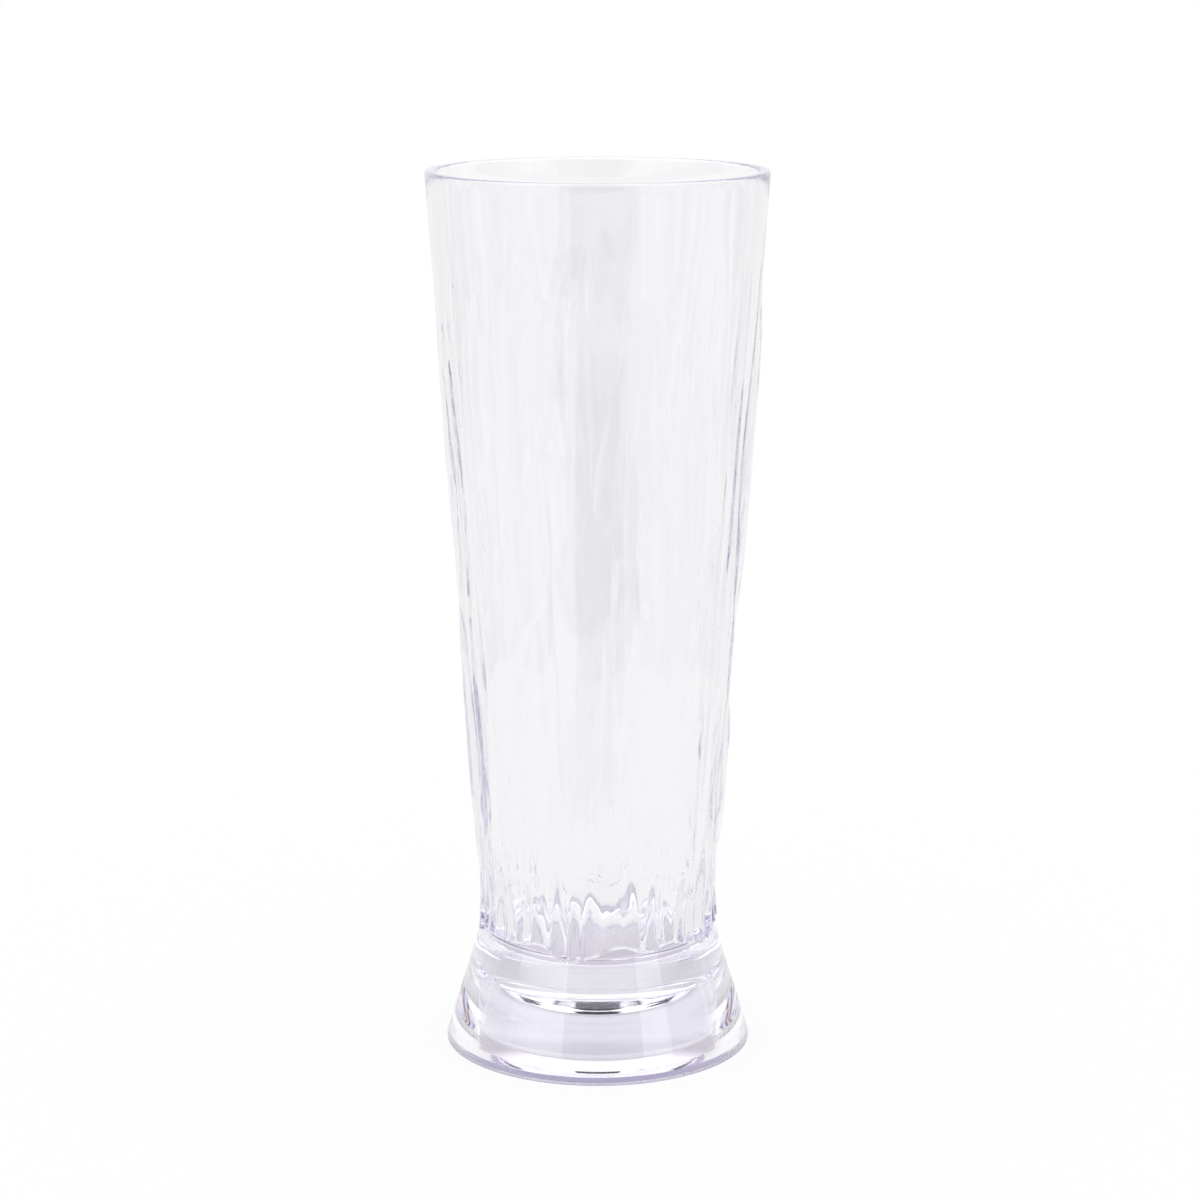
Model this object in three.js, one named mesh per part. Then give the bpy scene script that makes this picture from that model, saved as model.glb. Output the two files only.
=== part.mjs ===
// Plastic beer glass: a clear moulded body with a bark-like wall, and a thick clear plug set into its hollow foot.
// Millimetres, +Z up. The glass stands on z = 0 and its axis is Z.
import * as THREE from 'three';

// Outside of the glass
const height = 210;
const rimRadius = 40;
const waistRadius = 28;
const waistHeight = 29;
const waistBand = 8; // upright stretch above the waist, before the wall starts to lean out
const footRadius = 37;
const footEdge = 0.4; // rounding of the outer edge that the glass stands on
const standingRim = 2; // width of the narrow rim that the glass stands on
const standingRimHeight = 1.3;

// Inside of the cup
const wallThickness = 2.6;
const rimEdge = 0.7; // rounding of the two edges of the rim
const floorThickness = 5.8;
const floorFillet = 5;

// Socket in the underside of the foot
const underRing = 4.2; // flat ring between the standing rim and the mouth of the socket
const socketDepth = 18.2; // from the standing plane
const socketDraft = THREE.MathUtils.degToRad(3.5);
const socketFillet = 0.4;

// Plug that is bonded into the socket
const plugClearance = 0.3;
const plugRecess = 1.2; // from the mouth of the socket up to the plug
const plugTopFillet = 6.6;
const plugBottomFillet = 2.7;

// Relief of the wall: wandering streaks, and long plates that stand out like split bark
const plainLip = 10; // smooth band under the rim
const reliefFade = 16; // height over which the relief dies out below that band
const streaks = [
  { count: 11, depth: 0.12, wander: 0.3, pitch: 90 },
  { count: 17, depth: 0.1, wander: 0.4, pitch: 63 },
];
const sidePlates = [
  { azimuth: 0, z: 143, width: 26, length: 78, raise: 0.95, lean: 0 },
  { azimuth: 0, z: 65, width: 22, length: 38, raise: 0.9, lean: 0 },
  { azimuth: Math.PI, z: 74, width: 26, length: 74, raise: 0.75, lean: 0 },
  { azimuth: Math.PI, z: 152, width: 24, length: 70, raise: 0.3, lean: 0 },
];
const chipCount = 26;
const chipWidth = 11;
const chipLength = 44;
const chipRaise = 0.12;

// Waves of the line round the waist where the relief ends
const waistWaves = [
  { count: 5, height: 1, phase: 1 },
  { count: 9, height: 0.7, phase: 2 },
];

// Facets
const columns = 80;
const wallRows = 28;
const filletSteps = 4;

const floorHeight = socketDepth + floorThickness;
const wallTop = height - rimEdge;
const wallFoot = waistHeight + waistBand;
const goldenAngle = Math.PI * (3 - Math.sqrt(5));

// Radius of the plain wall, before its relief
function wallRadius(z) {
  const share = Math.max(0, z - wallFoot) / (wallTop - wallFoot);
  return waistRadius + share * (rimRadius - waistRadius);
}

function socketRadius(z) {
  const mouthRadius = footRadius - standingRim - underRing;
  return mouthRadius - (z - standingRimHeight) * Math.tan(socketDraft);
}

// Smaller chips, spread round and up the wall by the golden angle, every third one sunk instead of raised
function chipPlates() {
  const rise = (wallTop - plainLip - wallFoot) / chipCount;
  return Array.from({ length: chipCount }, (_, i) => {
    const swing = Math.sin(2.4 * i);
    return {
      azimuth: i * goldenAngle,
      z: wallFoot + (((i * 7) % chipCount) + 0.5) * rise,
      width: chipWidth * (1 + 0.4 * swing),
      length: chipLength * (1 + 0.4 * Math.cos(1.7 * i)),
      raise: i % 3 === 0 ? -chipRaise : chipRaise,
      lean: 0.12 * swing,
    };
  });
}

const plates = [...sidePlates, ...chipPlates()];

// A plate is a lens with pointed ends, flat in the middle and falling away at its edge
function plateRaise(plate, angle, z) {
  const turn = angle - plate.azimuth;
  const arc = Math.atan2(Math.sin(turn), Math.cos(turn)) * wallRadius(z);
  const along = (z - plate.z) / (plate.length / 2);
  const across = (arc - plate.lean * (z - plate.z)) / (plate.width / 2);
  const inside = 1 - Math.abs(across) - along * along;
  return plate.raise * THREE.MathUtils.clamp(1.6 * inside, 0, 1);
}

// Each set of streaks is a row of rounded strips with sharp grooves between them, wandering up the wall
function streakRaise(streak, angle, z) {
  const wander = streak.wander * Math.sin((2 * Math.PI * z) / streak.pitch + streak.count);
  return streak.depth * (2 * Math.abs(Math.cos((streak.count * angle) / 2 + wander)) - 1);
}

function relief(angle, z) {
  let raise = 0;
  for (const streak of streaks) raise += streakRaise(streak, angle, z);
  for (const plate of plates) raise += plateRaise(plate, angle, z);
  return raise * THREE.MathUtils.smoothstep(height - plainLip - z, 0, reliefFade);
}

// Height where the relief of the wall runs into the smooth cone of the foot, a wavy line round the waist
function waistLine(angle) {
  const coneSlope = (footRadius - waistRadius) / waistHeight;
  let line = waistHeight - relief(angle, waistHeight) / coneSlope;
  for (const wave of waistWaves) line += wave.height * Math.sin(wave.count * angle + wave.phase);
  return line;
}

// Points of an arc that rounds the corner of an outline
function corner(before, at, after, radius) {
  const back = before.clone().sub(at).normalize();
  const ahead = after.clone().sub(at).normalize();
  const half = Math.acos(back.dot(ahead)) / 2;
  const middle = at.clone().addScaledVector(back.clone().add(ahead).normalize(), radius / Math.sin(half));
  const reach = radius / Math.tan(half);
  const first = at.clone().addScaledVector(back, reach).sub(middle);
  const last = at.clone().addScaledVector(ahead, reach).sub(middle);
  const sweep = Math.atan2(first.cross(last), first.dot(last));
  const origin = new THREE.Vector2();
  return Array.from({ length: filletSteps + 1 }, (_, i) =>
    first.clone().rotateAround(origin, (sweep * i) / filletSteps).add(middle));
}

function point(r, z) {
  return new THREE.Vector2(r, z);
}

// The body's outline runs out along the socket, up the outside, over the rim and down the bore
function bodyOutline() {
  const ceiling = point(0, socketDepth);
  const socketCorner = point(socketRadius(socketDepth), socketDepth);
  const socketMouth = point(socketRadius(standingRimHeight), standingRimHeight);
  const ledge = point(footRadius - standingRim, standingRimHeight);
  const standingInside = point(footRadius - standingRim, 0);
  const standingEdge = point(footRadius, 0);
  const waist = point(waistRadius, waistHeight);
  const underside = [
    ceiling,
    ...corner(ceiling, socketCorner, socketMouth, socketFillet),
    socketMouth,
    ledge,
    standingInside,
    ...corner(standingInside, standingEdge, waist, footEdge),
  ];
  const wall = Array.from({ length: wallRows + 1 }, (_, i) => {
    const z = waistHeight + (i / wallRows) * (wallTop - waistHeight);
    return point(wallRadius(z), z);
  });
  const rimOutside = point(rimRadius, height);
  const rimInside = point(rimRadius - wallThickness, height);
  const boreFoot = point(waistRadius - wallThickness, wallFoot);
  const rim = [
    ...corner(point(rimRadius, wallFoot), rimOutside, rimInside, rimEdge).slice(1),
    ...corner(rimOutside, rimInside, boreFoot, rimEdge),
  ];
  const floorCorner = point(waistRadius - wallThickness, floorHeight);
  const floor = point(0, floorHeight);
  const bore = [boreFoot, ...corner(boreFoot, floorCorner, floor, floorFillet), floor];
  return { points: [...underside, ...wall, ...rim, ...bore], firstWallRow: underside.length };
}

function makeBody() {
  const { points, firstWallRow } = bodyOutline();
  const geometry = new THREE.LatheGeometry(points, columns);
  const position = geometry.getAttribute('position');
  for (let column = 0; column <= columns; column += 1) {
    const phi = (2 * Math.PI * (column % columns)) / columns;
    const angle = phi - Math.PI / 2;
    const start = waistLine(angle);
    for (let row = 0; row <= wallRows; row += 1) {
      const z = start + (row / wallRows) * (wallTop - start);
      const coneRadius = waistRadius + ((waistHeight - z) * (footRadius - waistRadius)) / waistHeight;
      const r = row === 0 ? coneRadius : wallRadius(z) + relief(angle, z);
      position.setXYZ(column * points.length + firstWallRow + row, r * Math.sin(phi), z, r * Math.cos(phi));
    }
  }
  geometry.rotateX(Math.PI / 2);
  geometry.computeVertexNormals();
  const material = new THREE.MeshStandardMaterial({
    color: 0xf0f0f3,
    roughness: 0.06,
    metalness: 0,
    transparent: true,
    opacity: 0.35,
  });
  const mesh = new THREE.Mesh(geometry, material);
  mesh.name = 'glass_body';
  return mesh;
}

// The plug follows the socket's draft, with the same clearance at its side and above it
function makeBasePlug() {
  const base = standingRimHeight + plugRecess;
  const thickness = socketDepth - plugClearance - base;
  const bottomCorner = point(socketRadius(base) - plugClearance, 0);
  const topCorner = point(socketRadius(base + thickness) - plugClearance, thickness);
  const bottom = point(0, 0);
  const crown = point(0, thickness);
  const filletLimit = 0.45 * thickness;
  const outline = [
    bottom,
    ...corner(bottom, bottomCorner, topCorner, Math.min(plugBottomFillet, filletLimit)),
    ...corner(bottomCorner, topCorner, crown, Math.min(plugTopFillet, filletLimit)),
    crown,
  ];
  const geometry = new THREE.LatheGeometry(outline, columns);
  geometry.rotateX(Math.PI / 2);
  const material = new THREE.MeshStandardMaterial({
    color: 0xe1deea,
    roughness: 0.05,
    metalness: 0,
    transparent: true,
    opacity: 0.4,
  });
  const mesh = new THREE.Mesh(geometry, material);
  mesh.name = 'base_plug';
  mesh.position.z = base;
  return mesh;
}

const glass = new THREE.Group();
glass.name = 'plastic_beer_glass';
glass.add(makeBody(), makeBasePlug());

export default glass;
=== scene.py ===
import math

import bpy
import numpy as np
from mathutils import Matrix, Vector


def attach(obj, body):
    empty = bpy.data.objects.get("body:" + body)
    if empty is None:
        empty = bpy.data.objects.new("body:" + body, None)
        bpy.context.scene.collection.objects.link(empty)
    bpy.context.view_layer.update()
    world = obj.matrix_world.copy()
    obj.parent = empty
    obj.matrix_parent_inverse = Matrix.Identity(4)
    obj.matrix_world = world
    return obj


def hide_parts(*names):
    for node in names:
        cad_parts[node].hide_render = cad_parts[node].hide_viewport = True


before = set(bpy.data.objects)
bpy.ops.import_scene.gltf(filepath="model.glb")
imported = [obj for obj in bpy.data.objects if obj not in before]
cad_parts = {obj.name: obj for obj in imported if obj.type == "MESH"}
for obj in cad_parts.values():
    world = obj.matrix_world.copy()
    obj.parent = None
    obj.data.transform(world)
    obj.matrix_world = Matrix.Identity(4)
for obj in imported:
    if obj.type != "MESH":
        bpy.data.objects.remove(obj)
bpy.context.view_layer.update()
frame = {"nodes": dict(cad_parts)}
scene = bpy.context.scene
mm = 0.001
print("frame loaded:", ", ".join(frame["nodes"]))


def toLinear(hexColour):
    # sRGB hex to the linear colour that the shaders take
    channels = [int(hexColour[i:i + 2], 16) / 255 for i in (0, 2, 4)]
    linear = [c / 12.92 if c <= 0.04045 else ((c + 0.055) / 1.055) ** 2.4 for c in channels]
    return (*linear, 1.0)


def addNode(tree, kind, settings=None, **sockets):
    # settings are properties of the node; sockets are values, or outputs to link from
    node = tree.nodes.new(kind)
    for name, value in (settings or {}).items():
        setattr(node, name, value)
    for name, value in sockets.items():
        numbered = name[0] == "i" and name[1:].isdigit()
        socket = node.inputs[int(name[1:]) if numbered else name.replace("_", " ")]
        if isinstance(value, bpy.types.NodeSocket):
            tree.links.new(value, socket)
        else:
            socket.default_value = value
    return node


# Camera, fitted to the ellipses of the rim and the foot
camera = {"lens": 93.72, "sensor": 36, "near": 0.01, "place": (0.00055, -0.7259, 0.2679), "tilt": 12.41}

lens = bpy.data.cameras.new("camera")
lens.lens = camera["lens"]
lens.sensor_width = camera["sensor"]
lens.clip_start = camera["near"]
eye = bpy.data.objects.new("camera", lens)
eye.location = camera["place"]
eye.rotation_euler = (math.radians(90 - camera["tilt"]), 0, 0)
scene.collection.objects.link(eye)
scene.camera = eye
print("camera placed")


# The moulded glass, sizes in mm, angles in degrees from +X
glass = {
    "height": 210.0, "rimRadius": 40.0, "rimEdge": 0.7, "wall": 2.6, "floor": 5.8, "floorFillet": 5.0,
    "waistRadius": 28.0, "waistHeight": 29.0, "waistBand": 8.0,
    "footRadius": 37.0, "footEdge": 0.4, "standingRim": 2.0, "standingRimHeight": 1.3,
    "underRing": 4.2, "socketDepth": 18.2, "socketDraft": 3.5, "socketFillet": 0.4,
    "plainLip": 10.0, "reliefFade": 16.0,
    "waistWaves": [(5, 1.0, 1.0), (9, 0.7, 2.0)],  # count, height, phase
    "waistLip": 0.5, "waistLipFade": 2.5,
    "scuffTop": 0.25, "scuffFull": 0.02,  # the scuffed rim fades out between these heights
    "columns": 600, "wallRows": 98, "rowCrowd": 1.25, "coneRows": 8, "boreRows": 20,
    "filletSteps": 7, "rimSteps": 5, "edgeSteps": 4, "floorRing": 10.0,
    # the bark on its wall
    "bark": {
        "sideShare": 0.12, "sidePower": 4,  # how much of the fine relief is left at the sides
        "streaks": [(11, 0.12, 0.3, 90.0), (17, 0.10, 0.4, 63.0)],  # count, depth, wander, pitch
        "striae": [(29, 0.05, 0.25, 95.0), (53, 0.025, 0.3, 70.0), (89, 0.014, 0.35, 60.0)],
        "swellPitch": 2.3, "swellSway": 5, "swellCount": 3,
        "sidePlates": [  # angle, height, width, length, raise
            (0, 143, 26, 78, 0.95), (0, 65, 22, 38, 0.9), (180, 74, 26, 74, 0.75), (180, 152, 24, 70, 0.3),
        ],
        "plateEdge": 1.6,
        "chips": {
            "count": 26, "stride": 7, "width": 11.0, "length": 44.0, "raise": 0.12, "sunkEvery": 3,
            "vary": 0.4, "lean": 0.12, "steps": (2.4, 1.7),  # steps of phase that keep neighbours unlike
        },
        "facets": {
            "around": 24, "up": 6, "tiltAcross": 0.06, "tiltUp": 0.02, "soft": 0.04, "jitter": 0.35,
            "reach": 60, "steps": (5.3, 3.1, 7.7, 4.9),
        },
        "splits": {
            "count": 64, "stride": 19, "spread": 1.03, "steps": (2.1, 3.7, 1.3),
            "length": 104.0, "lengthVary": 0.5, "lean": 0.025, "rise": 0.14, "riseVary": 0.6,
            "edge": 0.8, "fall": 3.5, "taper": 0.35,
            "wander": 0.22, "wanderPitch": 5, "wanderKinds": 5, "wanderFull": 40, "wanderLeast": 0.2,
        },
        "placedSplits": [  # angle and height of the upper and the lower end, rise
            (-104, 186, -88, 174, 0.16), (-112, 160, -100, 143, 0.13), (-84, 150, -96, 128, 0.16),
            (-70, 168, -62, 150, 0.13), (-92, 140, -99, 120, 0.15), (-80, 118, -88, 96, 0.12),
            (-150, 194, -147, 96, 0.22), (-158, 172, -155, 58, 0.12), (-143, 124, -141, 44, 0.2),
            (-33, 152, -35, 58, 0.22), (-24, 196, -27, 108, 0.2), (-40, 112, -38, 46, 0.18),
        ],
        "slits": [  # angle, height, length
            (-46.5, 112, 8), (-52, 89, 9), (-132, 70, 7), (-58, 138, 6), (-124, 96, 6), (-40, 78, 8),
            (-139, 128, 7),
        ],
        "slitDepth": 0.3, "slitWidth": 0.55, "slitTaper": 0.6,
        "drips": {
            "strips": (37, 0.95, 0.15, 60.0),  # count, depth, wander, pitch
            "crowd": 0.06, "crowdWaves": [(3, 1, 1.0), (7, 0, 0.6), (12, 2, 0.4)],  # count, phase, size
            "top": 47.0, "topWaves": [(9, 0, 5), (23, 1, 4)], "fade": 13.0, "mean": 0.55, "toFront": 0.45,
        },
    },
}
bark = glass["bark"]
floorHeight = glass["socketDepth"] + glass["floor"]
wallTop = glass["height"] - glass["rimEdge"]
wallFoot = glass["waistHeight"] + glass["waistBand"]
goldenAngle = math.pi * (3 - math.sqrt(5))


def wallRadius(z):
    share = np.maximum(0, z - wallFoot) / (wallTop - wallFoot)
    return glass["waistRadius"] + share * (glass["rimRadius"] - glass["waistRadius"])


def socketRadius(z):
    mouth = glass["footRadius"] - glass["standingRim"] - glass["underRing"]
    return mouth - (z - glass["standingRimHeight"]) * math.tan(math.radians(glass["socketDraft"]))


def smooth(value, low, high):
    share = np.clip((value - low) / (high - low), 0, 1)
    return share * share * (3 - 2 * share)


def turnFrom(angle, azimuth):
    # the shorter way round from azimuth to angle
    turn = angle - azimuth
    return np.arctan2(np.sin(turn), np.cos(turn))


def calm(angle):
    # the bark is calmer at the sides than at the front and the back
    return bark["sideShare"] + (1 - bark["sideShare"]) * np.sin(angle) ** bark["sidePower"]


def barkPlates():
    # the plates that step the outline, then chips spread round the wall by the golden angle
    plates = [(math.radians(a), z, w, l, r, 0.0) for a, z, w, l, r in bark["sidePlates"]]
    chips = bark["chips"]
    rise = (wallTop - glass["plainLip"] - wallFoot) / chips["count"]
    for i in range(chips["count"]):
        swing = math.sin(chips["steps"][0] * i)
        stretch = math.cos(chips["steps"][1] * i)
        plates.append((
            i * goldenAngle,
            wallFoot + ((i * chips["stride"]) % chips["count"] + 0.5) * rise,
            chips["width"] * (1 + chips["vary"] * swing),
            chips["length"] * (1 + chips["vary"] * stretch),
            -chips["raise"] if i % chips["sunkEvery"] == 0 else chips["raise"],
            chips["lean"] * swing,
        ))
    return plates


def plateRaise(plate, angle, z):
    # a long lens with pointed ends, flat in the middle and falling away at its edge
    azimuth, height, width, length, rise, lean = plate
    arc = turnFrom(angle, azimuth) * wallRadius(z)
    along = (z - height) / (length / 2)
    across = (arc - lean * (z - height)) / (width / 2)
    return rise * np.clip(bark["plateEdge"] * (1 - np.abs(across) - along ** 2), 0, 1)


def streakRaise(streak, angle, z):
    # rounded strips with sharp grooves between them
    count, depth, wander, pitch = streak
    drift = wander * np.sin(2 * math.pi * z / pitch + count)
    return depth * (2 * np.abs(np.cos(count * angle / 2 + drift)) - 1)


def striaRaise(stria, angle, z):
    # fine strips that come and go up the wall
    count, pitch = stria[0], stria[3]
    sway = bark["swellSway"] * np.sin(angle * bark["swellCount"] + count)
    swell = 0.5 + 0.5 * np.sin(2 * math.pi * z / (pitch * bark["swellPitch"]) + sway)
    return streakRaise(stria, angle, z) * swell * calm(angle)


def barkSplits():
    # angle, middle height, length, lean, rise and steep side of each split; the placed ones come last
    sp = bark["splits"]
    lengthStep, leanStep, riseStep = sp["steps"]
    splits = []
    for i in range(sp["count"]):
        azimuth = i * goldenAngle * sp["spread"]
        middle = wallFoot + ((i * sp["stride"]) % sp["count"] + 0.5) / sp["count"] * (wallTop - wallFoot)
        length = sp["length"] * (1 + sp["lengthVary"] * math.sin(lengthStep * i))
        lean = sp["lean"] * math.cos(leanStep * i)
        rise = sp["rise"] * (1 + sp["riseVary"] * math.sin(riseStep * i)) * calm(azimuth)
        splits.append((azimuth, middle, length, lean, rise, 1 if i % 2 else -1))
    for upper, top, lower, bottom, rise in bark["placedSplits"]:
        middle = (top + bottom) / 2
        lean = math.radians(upper - lower) * float(wallRadius(middle)) / (top - bottom)
        splits.append((math.radians((upper + lower) / 2), middle, top - bottom, lean, rise, 1))
    return splits


def splitRaise(angle, z):
    # edges where the bark has split: a sharp step on one side that falls away slowly on the other
    sp = bark["splits"]
    rise = np.zeros_like(angle * z)
    for i, (azimuth, middle, length, lean, height, side) in enumerate(barkSplits()):
        arc = turnFrom(angle, azimuth) * wallRadius(z)
        arc = arc - lean * (z - middle)
        wander = sp["wander"] * np.sin(z / (sp["wanderPitch"] + i % sp["wanderKinds"]) + i)
        arc = arc - wander * np.clip(length / sp["wanderFull"], sp["wanderLeast"], 1)
        arc = arc * side
        taper = smooth(1 - np.abs(z - middle) / (length / 2), 0, sp["taper"])
        slow = np.exp(-np.maximum(arc, 0) / sp["fall"])
        steep = np.clip(1 + arc / sp["edge"], 0, 1)
        rise = rise + height * taper * np.where(arc > 0, slow, steep)
    return rise


def facetRaise(angle, z):
    # long flat faces, each tilted its own way, like split bark or ice
    f = bark["facets"]
    aroundStep, upStep, acrossStep, alongStep = f["steps"]
    tall = (wallTop - wallFoot) / f["up"]
    total = np.zeros_like(angle * z)
    rise = np.zeros_like(total)
    for i in range(f["around"]):
        for j in range(f["up"] + 1):
            k = i * (f["up"] + 1) + j
            azimuth = (i + f["jitter"] * math.sin(aroundStep * k)) * 2 * math.pi / f["around"]
            middle = wallFoot + (j + 0.5 * (i % 2) + f["jitter"] * math.sin(upStep * k + 1)) * tall
            turn = turnFrom(angle, azimuth)
            across = turn * f["around"] / (2 * math.pi)
            along = (z - middle) / tall
            near = np.exp(-np.minimum((across ** 2 + along ** 2) / f["soft"], f["reach"]))
            tilt = f["tiltAcross"] * math.sin(acrossStep * k + 2) * turn * wallRadius(z)
            tilt = tilt + f["tiltUp"] * math.sin(alongStep * k) * (z - middle)
            total = total + near
            rise = rise + near * tilt
    return calm(angle) * rise / np.maximum(total, 1e-20)  # never divides by zero


def slitRaise(angle, z):
    # short narrow nicks in the bark
    rise = np.zeros_like(angle * z)
    for azimuth, middle, length in bark["slits"]:
        arc = turnFrom(angle, math.radians(azimuth)) * wallRadius(z)
        taper = smooth(1 - np.abs(z - middle) / (length / 2), 0, bark["slitTaper"])
        rise = rise - bark["slitDepth"] * taper * np.exp(-(arc / bark["slitWidth"]) ** 2)
    return rise


def dripRaise(angle, z):
    # strips of uneven width and height that run down into the waist, deepest at the front
    d = bark["drips"]
    uneven = angle + d["crowd"] * sum(size * np.sin(n * angle + phase) for n, phase, size in d["crowdWaves"])
    top = d["top"]
    for n, phase, size in d["topWaves"]:
        top = top + size * np.sin(n * angle + phase)
    ahead = d["mean"] - d["toFront"] * np.sin(angle)
    return streakRaise(d["strips"], uneven, z) * ahead * smooth(top - z, 0, d["fade"])


def relief(angle, z, fine=True):
    rise = sum(streakRaise(s, angle, z) for s in bark["streaks"])
    rise = rise + sum(plateRaise(p, angle, z) for p in barkPlates())
    if fine:
        for stria in bark["striae"]:
            rise = rise + striaRaise(stria, angle, z)
        rise = rise + splitRaise(angle, z)
        rise = rise + facetRaise(angle, z) + slitRaise(angle, z) + dripRaise(angle, z)
    return rise * smooth(glass["height"] - glass["plainLip"] - z, 0, glass["reliefFade"])


def rounded(before, at, after, radius, steps):
    # points of an arc that rounds a corner of an outline
    before, at, after = Vector(before), Vector(at), Vector(after)
    back, ahead = (before - at).normalized(), (after - at).normalized()
    half = back.angle(ahead) / 2
    middle = at + (back + ahead).normalized() * (radius / math.sin(half))
    first = at + back * (radius / math.tan(half)) - middle
    last = at + ahead * (radius / math.tan(half)) - middle
    sweep = math.atan2(first.x * last.y - first.y * last.x, first.dot(last))
    points = []
    for i in range(steps + 1):
        turn = sweep * i / steps
        points.append((
            middle.x + first.x * math.cos(turn) - first.y * math.sin(turn),
            middle.y + first.x * math.sin(turn) + first.y * math.cos(turn),
        ))
    return points


def turnedMesh(name, rings, columns, creases):
    # rings run from the axis out and back to the axis; each is (radius, height), plain or one per column
    angle = np.arange(columns) * 2 * math.pi / columns
    points = [np.array([[0.0, 0.0, rings[0][1]]])]
    for r, z in rings[1:-1]:
        ring = np.stack([r * np.cos(angle), r * np.sin(angle), z * np.ones(columns)], axis=1)
        points.append(ring)
    points.append(np.array([[0.0, 0.0, rings[-1][1]]]))
    points = np.concatenate(points) * mm
    inner = len(rings) - 2
    here = np.arange(columns)
    ahead = np.roll(here, -1)
    faces = [(0, 1 + int(b), 1 + int(a)) for a, b in zip(here, ahead)]
    for k in range(inner - 1):
        low, high = 1 + k * columns, 1 + (k + 1) * columns
        quads = np.stack([low + here, low + ahead, high + ahead, high + here], axis=1)
        faces.extend(map(tuple, quads.tolist()))
    top = 1 + (inner - 1) * columns
    faces.extend((top + int(a), top + int(b), len(points) - 1) for a, b in zip(here, ahead))
    mesh = bpy.data.meshes.new(name)
    mesh.from_pydata(points.tolist(), [], faces)
    mesh.polygons.foreach_set("use_smooth", [True] * len(mesh.polygons))
    ends = np.empty(len(mesh.edges) * 2, dtype=np.int32)
    mesh.edges.foreach_get("vertices", ends)
    ringOf = (ends.reshape(-1, 2) - 1) // columns + 1
    sharp = (ringOf[:, 0] == ringOf[:, 1]) & np.isin(ringOf[:, 0], creases)
    mesh.attributes.new("sharp_edge", "BOOLEAN", "EDGE").data.foreach_set("value", sharp)
    piece = bpy.data.objects.new(name, mesh)
    scene.collection.objects.link(piece)
    return piece


def makeGlass():
    g = glass
    rimZ = g["standingRimHeight"]
    # the socket, and the rim that the glass stands on
    mouth, inside = (socketRadius(rimZ), rimZ), (g["footRadius"] - g["standingRim"], 0.0)
    corner = (socketRadius(g["socketDepth"]), g["socketDepth"])
    waist, foot = (g["waistRadius"], g["waistHeight"]), (g["footRadius"], 0.0)
    rings = [(0.0, g["socketDepth"]), (corner[0] / 2, g["socketDepth"])]
    rings += rounded((0, g["socketDepth"]), corner, mouth, g["socketFillet"], g["edgeSteps"])
    creases = [len(rings), len(rings) + 1, len(rings) + 2]
    rings += [mouth, (inside[0], rimZ), inside]
    rings += rounded(inside, foot, waist, g["footEdge"], g["edgeSteps"])
    # the cone of the foot, up to the wavy line where the bark starts
    angle = np.arange(g["columns"]) * 2 * math.pi / g["columns"]
    slope = (g["footRadius"] - g["waistRadius"]) / g["waistHeight"]
    line = g["waistHeight"] - relief(angle, np.full_like(angle, g["waistHeight"]), False) / slope
    line = line + sum(h * np.sin(count * angle + phase) for count, h, phase in g["waistWaves"])
    edge = rings[-1]
    for i in range(1, g["coneRows"]):
        z = edge[1] + (line - edge[1]) * i / g["coneRows"]
        rings.append((g["footRadius"] - z * slope, z))
    # the wall
    firstWall = len(rings)
    creases.append(firstWall)
    for i in range(g["wallRows"] + 1):
        z = line + (wallTop - line) * (i / g["wallRows"]) ** g["rowCrowd"]
        lip = g["waistLip"] * np.exp((line - z) / g["waistLipFade"])
        r = g["footRadius"] - z * slope if i == 0 else wallRadius(z) + relief(angle, z) + lip
        rings.append((r, z))
    lastWall = len(rings) - 1
    # over the rim and down the bore to the floor
    outer, inner = (g["rimRadius"], g["height"]), (g["rimRadius"] - g["wall"], g["height"])
    rings += rounded((outer[0], 0), outer, inner, g["rimEdge"], g["rimSteps"])[1:]
    rings += rounded(outer, inner, (inner[0], 0), g["rimEdge"], g["rimSteps"])
    bore = g["waistRadius"] - g["wall"]
    for i in range(1, g["boreRows"] + 1):
        z = wallTop + (wallFoot - wallTop) * i / g["boreRows"]
        rings.append((float(wallRadius(z)) - g["wall"], z))
    floorCorner, floor = (bore, floorHeight), (0.0, floorHeight)
    rings += rounded((bore, wallFoot), floorCorner, floor, g["floorFillet"], g["filletSteps"])
    rings += [(g["floorRing"], floorHeight), floor]
    piece = turnedMesh("moulded_glass", rings, g["columns"], creases)
    # where the bark and the scuffed rim are, for the material
    barked = np.zeros(len(piece.data.vertices), dtype=np.float32)
    barked[1 + (firstWall - 1) * g["columns"]:1 + lastWall * g["columns"]] = 1.0
    heights = np.array([v.co.z for v in piece.data.vertices]) / mm
    barked *= smooth(g["height"] - g["plainLip"] - heights, 0, g["reliefFade"])
    piece.data.attributes.new("bark", "FLOAT", "POINT").data.foreach_set("value", barked)
    scuff = smooth(heights, g["scuffTop"], g["scuffFull"]).astype(np.float32)
    piece.data.attributes.new("scuff", "FLOAT", "POINT").data.foreach_set("value", scuff)
    return piece


# The plug that fills the hollow foot, sizes in mm
plug = {
    "clearance": 0.3, "recess": 1.2, "topFillet": 6.6, "bottomFillet": 2.7,
    "columns": 240, "filletSteps": 12, "innerRing": 12.0,
}


def makePlug():
    base = glass["standingRimHeight"] + plug["recess"]
    top = glass["socketDepth"] - plug["clearance"]
    low = (socketRadius(base) - plug["clearance"], base)
    high = (socketRadius(top) - plug["clearance"], top)
    rings = [(0.0, base), (plug["innerRing"], base)]
    rings += rounded((0, base), low, high, plug["bottomFillet"], plug["filletSteps"])
    rings += rounded(low, high, (0, top), plug["topFillet"], plug["filletSteps"])
    rings += [(plug["innerRing"], top), (0.0, top)]
    return turnedMesh("base_disc", rings, plug["columns"], [])


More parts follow.
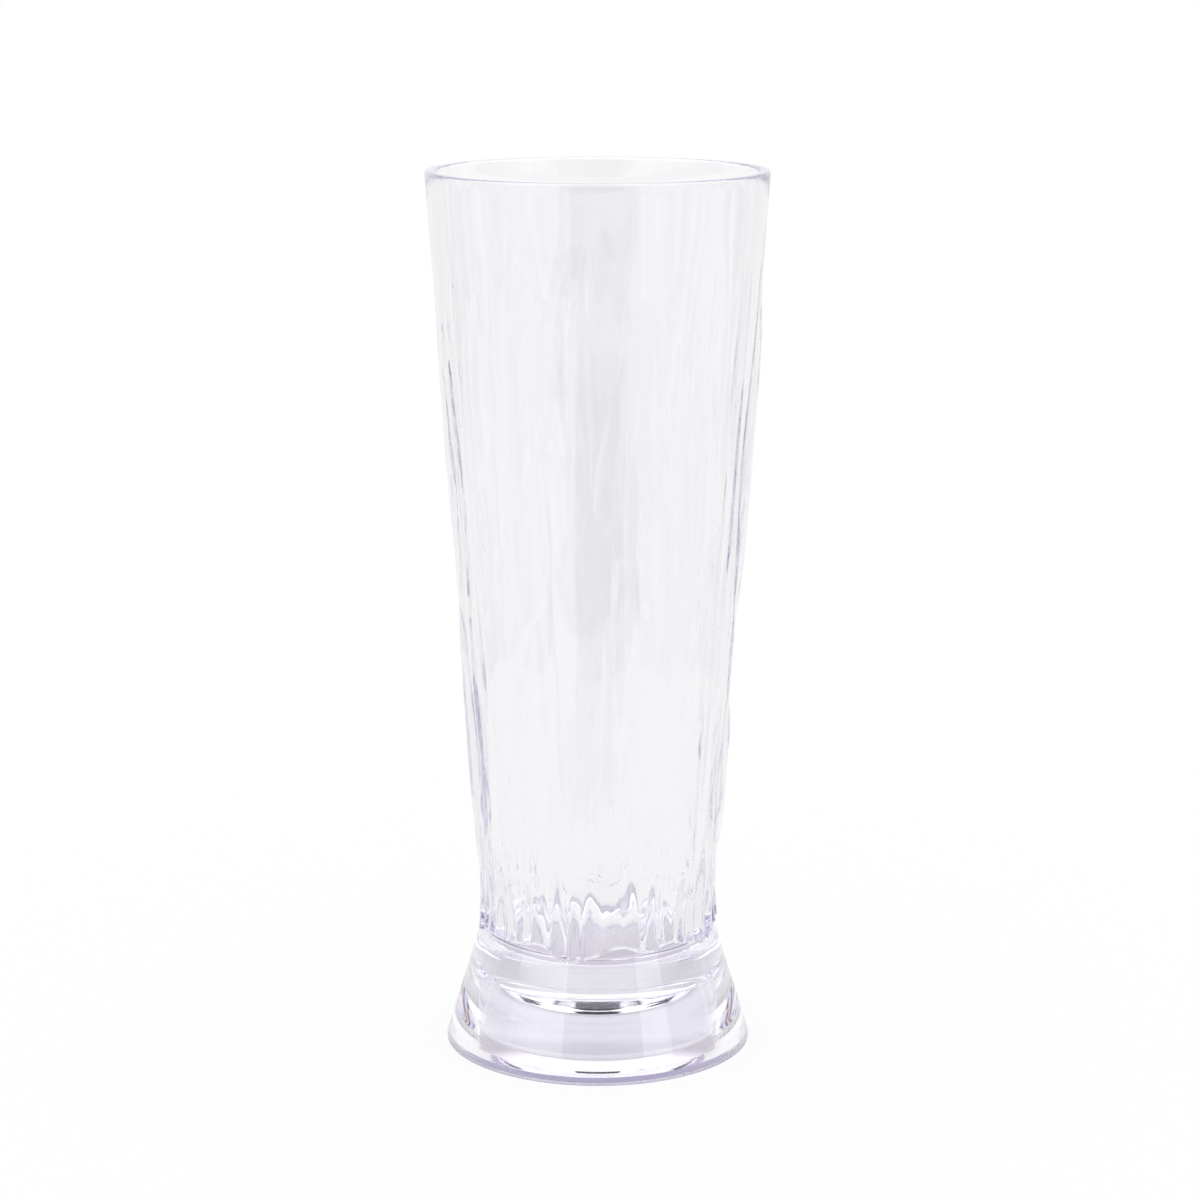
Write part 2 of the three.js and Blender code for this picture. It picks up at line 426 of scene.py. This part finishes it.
# Acrylic, injection moulded: clear, glossy, with a faint lilac toner that shows where the plastic is deep.
# The bark side of the mould leaves fine upright striae; the bore and the foot are polished.
acrylic = {
    "clear": "fdfdfe", "cloud": "f9f9fa", "toner": "d0c8e3", "density": 6.0, "ior": 1.49,
    "roughLow": 0.004, "roughHigh": 0.02, "hazeMm": 2.5, "hazeRange": (0.35, 0.75), "cloudMm": 9.0,
    "striaeMm": 1.6, "striaeStretch": 14.0, "striaeDepthMm": 0.007, "striaeTwist": 0.6, "scuffRough": 0.4,
}


def acrylicMoulded(name, barked):
    material = bpy.data.materials.new(name)
    material.use_nodes = True
    tree = material.node_tree
    tree.nodes.clear()
    place = addNode(tree, "ShaderNodeTexCoord")
    upright = addNode(
        tree, "ShaderNodeMapping", Vector=place.outputs["Object"],
        Scale=(1, 1, 1 / acrylic["striaeStretch"]),
    )
    # the plastic is faintly cloudy, and its polish is a little uneven
    cloud = addNode(
        tree, "ShaderNodeTexNoise", Vector=upright.outputs[0], Scale=1 / (acrylic["cloudMm"] * mm),
        Detail=3,
    )
    tint = addNode(
        tree, "ShaderNodeMix", {"data_type": "RGBA"}, i0=cloud.outputs["Fac"],
        i6=toLinear(acrylic["clear"]), i7=toLinear(acrylic["cloud"]),
    )
    haze = addNode(
        tree, "ShaderNodeTexNoise", Vector=place.outputs["Object"], Scale=1 / (acrylic["hazeMm"] * mm),
        Detail=4,
    )
    rough = addNode(
        tree, "ShaderNodeMapRange", Value=haze.outputs["Fac"],
        From_Min=acrylic["hazeRange"][0], From_Max=acrylic["hazeRange"][1],
        To_Min=acrylic["roughLow"], To_Max=acrylic["roughHigh"],
    )
    shader = addNode(
        tree, "ShaderNodeBsdfPrincipled", Base_Color=tint.outputs[2], Roughness=rough.outputs[0],
        IOR=acrylic["ior"], Transmission_Weight=1.0,
    )
    if barked:
        # the rim that the glass stands on is scuffed dull
        scuff = addNode(tree, "ShaderNodeAttribute", {"attribute_name": "scuff"})
        worn = addNode(
            tree, "ShaderNodeMath", {"operation": "MULTIPLY_ADD"}, i0=scuff.outputs["Fac"],
            i1=acrylic["scuffRough"], i2=rough.outputs[0],
        )
        tree.links.new(worn.outputs[0], shader.inputs["Roughness"])
        striae = addNode(
            tree, "ShaderNodeTexNoise", Vector=upright.outputs[0], Scale=1 / (acrylic["striaeMm"] * mm),
            Detail=3, Distortion=acrylic["striaeTwist"],
        )
        onBark = addNode(tree, "ShaderNodeAttribute", {"attribute_name": "bark"})
        depth = addNode(
            tree, "ShaderNodeMath", {"operation": "MULTIPLY"}, i0=striae.outputs["Fac"],
            i1=onBark.outputs["Fac"],
        )
        bump = addNode(
            tree, "ShaderNodeBump", Height=depth.outputs[0], Strength=1.0,
            Distance=acrylic["striaeDepthMm"] * mm,
        )
        tree.links.new(bump.outputs[0], shader.inputs["Normal"])
    inside = addNode(
        tree, "ShaderNodeVolumeAbsorption", Color=toLinear(acrylic["toner"]), Density=acrylic["density"],
    )
    addNode(tree, "ShaderNodeOutputMaterial", Surface=shader.outputs[0], Volume=inside.outputs[0])
    return material


mouldedGlass = makeGlass()
mouldedGlass.data.materials.append(acrylicMoulded("acrylic_moulded_bark", True))
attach(mouldedGlass, "root")
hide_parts("glass_body")
print("glass made:", len(mouldedGlass.data.polygons), "faces")

baseDisc = makePlug()
baseDisc.data.materials.append(acrylicMoulded("acrylic_moulded_polished", False))
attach(baseDisc, "root")
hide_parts("base_plug")
print("base disc made:", len(baseDisc.data.polygons), "faces")


# Studio: a white table in white surroundings, which is all that rays see that go straight or only bend.
# Mirrored rays see soft boxes with dark gaps between them, beyond the white table top.
# A gap is its middle and half width in degrees, from the camera's side to the right, then its foot and top
# as upward parts of the direction. gaps are for rays mirrored off the outside, insideGaps for rays mirrored
# once or twice inside the plastic, and deepGaps for rays that turned more often in the foot.
# Each pair of turns is in degrees from the camera's side, and each pair of rises is upward parts.
studio = {
    "tableHalf": 1.5, "tableDropMm": 0.1, "tableWhite": 0.1, "tableMirrored": 0.8,
    "tableTop": 0.30, "nearTable": 0.045,  # how far out the table is seen after one reflection and after two
    # a painted contact shadow: a darker lilac ring on the table under the standing rim
    "contact": (0.031, 0.0368), "contactShadowTint": "b8b0d0",
    # painted light and shade on the table under the foot: a bright pool at the front, a shadow behind, pale
    # lilac
    "underGlow": 1.35, "underShade": 0.7, "paintedUnderTint": "f1eaf6", "glowFrom": (-0.022, -0.015),
    "gaps": [
        (5, 24, -0.75, 0.12), (4, 32, 0.12, 0.33), (-90, 14, 0.0, 0.33), (79, 19, 0.0, 0.33),
        (0, 100, 0.0, 0.1),
    ],
    "insideGaps": [(5, 24, -0.75, 0.0)],
    "deepGaps": [
        (0, 19, -0.94, 0.0), (0, 19, 0.6, 1.0), (49, 7, -0.6, 0.3), (-45, 9, -0.6, 0.3),
        (38, 8, 0.5, 0.72), (-36, 8, 0.5, 0.72),
    ],
    "gapSoft": 1.5, "gapLevel": 0.02,
    "lowLevel": 0.56, "mottle": 0.9, "mottleScale": 9.0, "mottleRange": (0.35, 0.65),
    "boxLevel": 2.0, "boxRise": (0.1, 0.2), "insideLevel": 0.95,
    "backLow": 0.93, "backHigh": 1.07, "backRise": (-0.05, 0.05), "backDepth": (-0.75, -0.35),
    "deepTimes": 3, "deepFront": 1.8, "deepDepth": (-0.2, 0.2), "deepBack": 0.97, "deepSide": 0.78,
    "sideTurn": (155, 172), "deepTop": 1.5, "topRise": (0.45, 0.55),
    "splitTimes": 6, "splitTurn": (150, 180), "splitRise": 0.18, "splitHalf": 0.14,
    "splitColours": [  # share of the way from the side to the back, colour
        (0.0, "f4f2fa"), (0.12, "f0c98a"), (0.22, "8a4a2a"), (0.30, "3a2f5a"), (0.42, "6a78c8"),
        (0.52, "f6f4fb"), (0.62, "f2c37e"), (0.70, "7c3f3a"), (0.78, "4a3f86"), (0.88, "b9c4ee"),
        (1.0, "f6f4fb"),
    ],
    "bounces": 64,
}


def mirroredRays(tree, times=1):
    # 1 for rays that were reflected at least this often on their way
    path = addNode(tree, "ShaderNodeLightPath")
    often = addNode(
        tree, "ShaderNodeMath", {"operation": "GREATER_THAN"}, i0=path.outputs["Glossy Depth"],
        i1=times - 0.5,
    )
    return often.outputs[0]


def makeTable():
    x = studio["tableHalf"]
    mesh = bpy.data.meshes.new("table")
    mesh.from_pydata([(-x, -x, 0), (x, -x, 0), (x, x, 0), (-x, x, 0)], [], [(0, 1, 2, 3)])
    table = bpy.data.objects.new("table", mesh)
    table.location.z = -studio["tableDropMm"] * mm
    scene.collection.objects.link(table)
    # white paper with painted shadows and a painted pool of light under the foot
    material = bpy.data.materials.new("paper_white_painted_shade")
    material.use_nodes = True
    tree = material.node_tree
    tree.nodes.clear()
    white = studio["tableWhite"]
    place = addNode(tree, "ShaderNodeTexCoord")
    out = addNode(tree, "ShaderNodeVectorMath", {"operation": "LENGTH"}, i0=place.outputs["Object"])
    out = out.outputs["Value"]
    mirrored = mirroredRays(tree)
    matte = addNode(tree, "ShaderNodeBsdfDiffuse", Color=(white, white, white, 1))
    # painted contact shadow: a darker lilac ring is painted on the table under the standing rim, for the
    # shade there and the lilac of the light that comes through the rim
    contactIn, contactOut = studio["contact"]
    paintedContactShadow = addNode(
        tree, "ShaderNodeMath", {"operation": "COMPARE"}, i0=out, i1=(contactIn + contactOut) / 2,
        i2=(contactOut - contactIn) / 2,
    )
    # painted light and shade: under the foot the table is painted pale lilac, with a painted pool of light
    # at the front, where the foot gathers light, and a painted shadow behind
    under = addNode(tree, "ShaderNodeMath", {"operation": "LESS_THAN"}, i0=out, i1=contactIn)
    spot = addNode(tree, "ShaderNodeSeparateXYZ", Vector=place.outputs["Object"])
    ahead = addNode(
        tree, "ShaderNodeMapRange", {"interpolation_type": "SMOOTHSTEP"}, Value=spot.outputs["Y"],
        From_Min=studio["glowFrom"][0], From_Max=studio["glowFrom"][1],
        To_Min=studio["underGlow"], To_Max=studio["underShade"],
    )
    paintedUnderLight = addNode(
        tree, "ShaderNodeMapRange", Value=under.outputs[0], To_Min=1 - white, To_Max=ahead.outputs[0],
    )
    lit = addNode(
        tree, "ShaderNodeMapRange", Value=mirrored, To_Min=paintedUnderLight.outputs[0],
        To_Max=studio["tableMirrored"],
    )
    # the pale lilac of the painted light and shade under the foot
    tint = addNode(
        tree, "ShaderNodeMix", {"data_type": "RGBA"}, i0=under.outputs[0], i6=(1, 1, 1, 1),
        i7=toLinear(studio["paintedUnderTint"]),
    )
    # the painted contact shadow is mixed into the table's colour here
    tint = addNode(
        tree, "ShaderNodeMix", {"data_type": "RGBA"}, i0=paintedContactShadow.outputs[0], i6=tint.outputs[2],
        i7=toLinear(studio["contactShadowTint"]),
    )
    glow = addNode(tree, "ShaderNodeEmission", Color=tint.outputs[2], Strength=lit.outputs[0])
    both = addNode(tree, "ShaderNodeAddShader", i0=matte.outputs[0], i1=glow.outputs[0])
    # mirrored rays see only the near part of the table, and none of it after many turns
    end = addNode(
        tree, "ShaderNodeMapRange", Value=mirroredRays(tree, 2), To_Min=studio["tableTop"],
        To_Max=studio["nearTable"],
    )
    far = addNode(tree, "ShaderNodeMath", {"operation": "GREATER_THAN"}, i0=out, i1=end.outputs[0])
    gone = addNode(tree, "ShaderNodeMath", {"operation": "MULTIPLY"}, i0=far.outputs[0], i1=mirrored)
    gone = addNode(
        tree, "ShaderNodeMath", {"operation": "MAXIMUM"}, i0=gone.outputs[0],
        i1=mirroredRays(tree, studio["deepTimes"]),
    )
    clear = addNode(tree, "ShaderNodeBsdfTransparent")
    seen = addNode(
        tree, "ShaderNodeMixShader", i0=gone.outputs[0], i1=both.outputs[0], i2=clear.outputs[0],
    )
    addNode(tree, "ShaderNodeOutputMaterial", Surface=seen.outputs[0])
    mesh.materials.append(material)


def gapShare(tree, turn, rise, gaps):
    # 1 inside any of the gaps, 0 outside them
    inside = None
    for middle, half, foot, top in gaps:
        off = addNode(tree, "ShaderNodeMath", {"operation": "SUBTRACT"}, i0=turn, i1=math.radians(middle))
        away = addNode(tree, "ShaderNodeMath", {"operation": "ABSOLUTE"}, i0=off.outputs[0])
        across = addNode(
            tree, "ShaderNodeMapRange", {"interpolation_type": "SMOOTHSTEP"}, Value=away.outputs[0],
            From_Min=math.radians(half - studio["gapSoft"]),
            From_Max=math.radians(half + studio["gapSoft"]),
            To_Min=1.0, To_Max=0.0,
        )
        level = addNode(
            tree, "ShaderNodeMath", {"operation": "COMPARE"}, i0=rise, i1=(foot + top) / 2,
            i2=(top - foot) / 2,
        )
        gap = addNode(
            tree, "ShaderNodeMath", {"operation": "MULTIPLY"}, i0=across.outputs[0], i1=level.outputs[0],
        )
        if inside:
            gap = addNode(
                tree, "ShaderNodeMath", {"operation": "MAXIMUM"}, i0=gap.outputs[0], i1=inside.outputs[0],
            )
        inside = gap
    return inside.outputs[0]


def makeSurroundings():
    world = bpy.data.worlds.new("studio")
    world.use_nodes = True
    scene.world = world
    tree = world.node_tree
    tree.nodes.clear()
    way = addNode(tree, "ShaderNodeTexCoord")
    axes = addNode(tree, "ShaderNodeSeparateXYZ", Vector=way.outputs["Generated"])
    toFront = addNode(tree, "ShaderNodeMath", {"operation": "MULTIPLY"}, i0=axes.outputs["Y"], i1=-1.0)
    turn = addNode(
        tree, "ShaderNodeMath", {"operation": "ARCTAN2"}, i0=axes.outputs["X"], i1=toFront.outputs[0],
    )
    turn, rise = turn.outputs[0], axes.outputs["Z"]
    aside = addNode(tree, "ShaderNodeMath", {"operation": "ABSOLUTE"}, i0=turn)
    path = addNode(tree, "ShaderNodeLightPath")
    inside = addNode(
        tree, "ShaderNodeMath", {"operation": "GREATER_THAN"}, i0=path.outputs["Transmission Depth"],
        i1=0.5,
    )
    # the soft boxes as rays mirrored once or twice see them: mottled low down and bright above, or even when
    # the ray comes from inside the plastic
    uneven = addNode(
        tree, "ShaderNodeTexNoise", Vector=way.outputs["Generated"], Scale=studio["mottleScale"], Detail=2,
    )
    mottle = addNode(
        tree, "ShaderNodeMapRange", Value=uneven.outputs["Fac"],
        From_Min=studio["mottleRange"][0], From_Max=studio["mottleRange"][1],
        To_Min=studio["lowLevel"] * (1 - studio["mottle"]),
        To_Max=studio["lowLevel"] * (1 + studio["mottle"]),
    )
    front = addNode(
        tree, "ShaderNodeMapRange", {"interpolation_type": "SMOOTHSTEP"}, Value=rise,
        From_Min=studio["boxRise"][0], From_Max=studio["boxRise"][1],
        To_Min=mottle.outputs[0], To_Max=studio["boxLevel"],
    )
    back = addNode(
        tree, "ShaderNodeMapRange", Value=rise,
        From_Min=studio["backRise"][0], From_Max=studio["backRise"][1],
        To_Min=studio["backLow"], To_Max=studio["backHigh"],
    )
    box = addNode(
        tree, "ShaderNodeMapRange", Value=inside.outputs[0], To_Min=front.outputs[0],
        To_Max=studio["insideLevel"],
    )
    box = addNode(
        tree, "ShaderNodeMapRange", {"interpolation_type": "SMOOTHSTEP"}, Value=toFront.outputs[0],
        From_Min=studio["backDepth"][0], From_Max=studio["backDepth"][1],
        To_Min=back.outputs[0], To_Max=box.outputs[0],
    )
    gaps = addNode(
        tree, "ShaderNodeMapRange", Value=inside.outputs[0],
        To_Min=gapShare(tree, turn, rise, studio["gaps"]),
        To_Max=gapShare(tree, turn, rise, studio["insideGaps"]),
    )
    outer = addNode(
        tree, "ShaderNodeMapRange", Value=gaps.outputs[0], To_Min=box.outputs[0],
        To_Max=studio["gapLevel"],
    )
    # the soft boxes as rays see them that turned more often in the foot
    deepLow = addNode(
        tree, "ShaderNodeMapRange", Value=aside.outputs[0],
        From_Min=math.radians(studio["sideTurn"][0]), From_Max=math.radians(studio["sideTurn"][1]),
        To_Min=studio["deepSide"], To_Max=studio["deepBack"],
    )
    deepBack = addNode(
        tree, "ShaderNodeMapRange", Value=rise,
        From_Min=studio["topRise"][0], From_Max=studio["topRise"][1],
        To_Min=deepLow.outputs[0], To_Max=studio["deepTop"],
    )
    deepBox = addNode(
        tree, "ShaderNodeMapRange", {"interpolation_type": "SMOOTHSTEP"}, Value=toFront.outputs[0],
        From_Min=studio["deepDepth"][0], From_Max=studio["deepDepth"][1],
        To_Min=deepBack.outputs[0], To_Max=studio["deepFront"],
    )
    deep = addNode(
        tree, "ShaderNodeMapRange", Value=gapShare(tree, turn, rise, studio["deepGaps"]),
        To_Min=deepBox.outputs[0], To_Max=studio["gapLevel"],
    )
    mirrored = addNode(
        tree, "ShaderNodeMapRange", Value=mirroredRays(tree, studio["deepTimes"]),
        To_Min=outer.outputs[0], To_Max=deep.outputs[0],
    )
    level = addNode(
        tree, "ShaderNodeMapRange", Value=mirroredRays(tree), To_Min=1.0, To_Max=mirrored.outputs[0],
    )
    # light that turned many times in the sides of the foot comes out split into colours
    share = addNode(
        tree, "ShaderNodeMapRange", Value=aside.outputs[0],
        From_Min=math.radians(studio["splitTurn"][0]), From_Max=math.radians(studio["splitTurn"][1]),
    )
    fan = addNode(tree, "ShaderNodeValToRGB", Fac=share.outputs[0])
    while len(fan.color_ramp.elements) < len(studio["splitColours"]):
        fan.color_ramp.elements.new(1.0)
    for stop, (at, colour) in zip(fan.color_ramp.elements, studio["splitColours"]):
        stop.position, stop.color = at, toLinear(colour)
    flat = addNode(
        tree, "ShaderNodeMath", {"operation": "COMPARE"}, i0=rise, i1=studio["splitRise"],
        i2=studio["splitHalf"],
    )
    split = addNode(
        tree, "ShaderNodeMath", {"operation": "MULTIPLY"}, i0=flat.outputs[0],
        i1=mirroredRays(tree, studio["splitTimes"]),
    )
    tint = addNode(
        tree, "ShaderNodeMix", {"data_type": "RGBA"}, i0=split.outputs[0], i6=(1, 1, 1, 1),
        i7=fan.outputs["Color"],
    )
    sky = addNode(tree, "ShaderNodeBackground", Color=tint.outputs[2], Strength=level.outputs[0])
    addNode(tree, "ShaderNodeOutputWorld", Surface=sky.outputs[0])
    world.cycles.sampling_method = "NONE"


makeTable()
makeSurroundings()
scene.view_settings.view_transform = "Standard"
scene.cycles.max_bounces = studio["bounces"]
scene.cycles.transmission_bounces = studio["bounces"]
scene.cycles.glossy_bounces = studio["bounces"]
print("studio set")
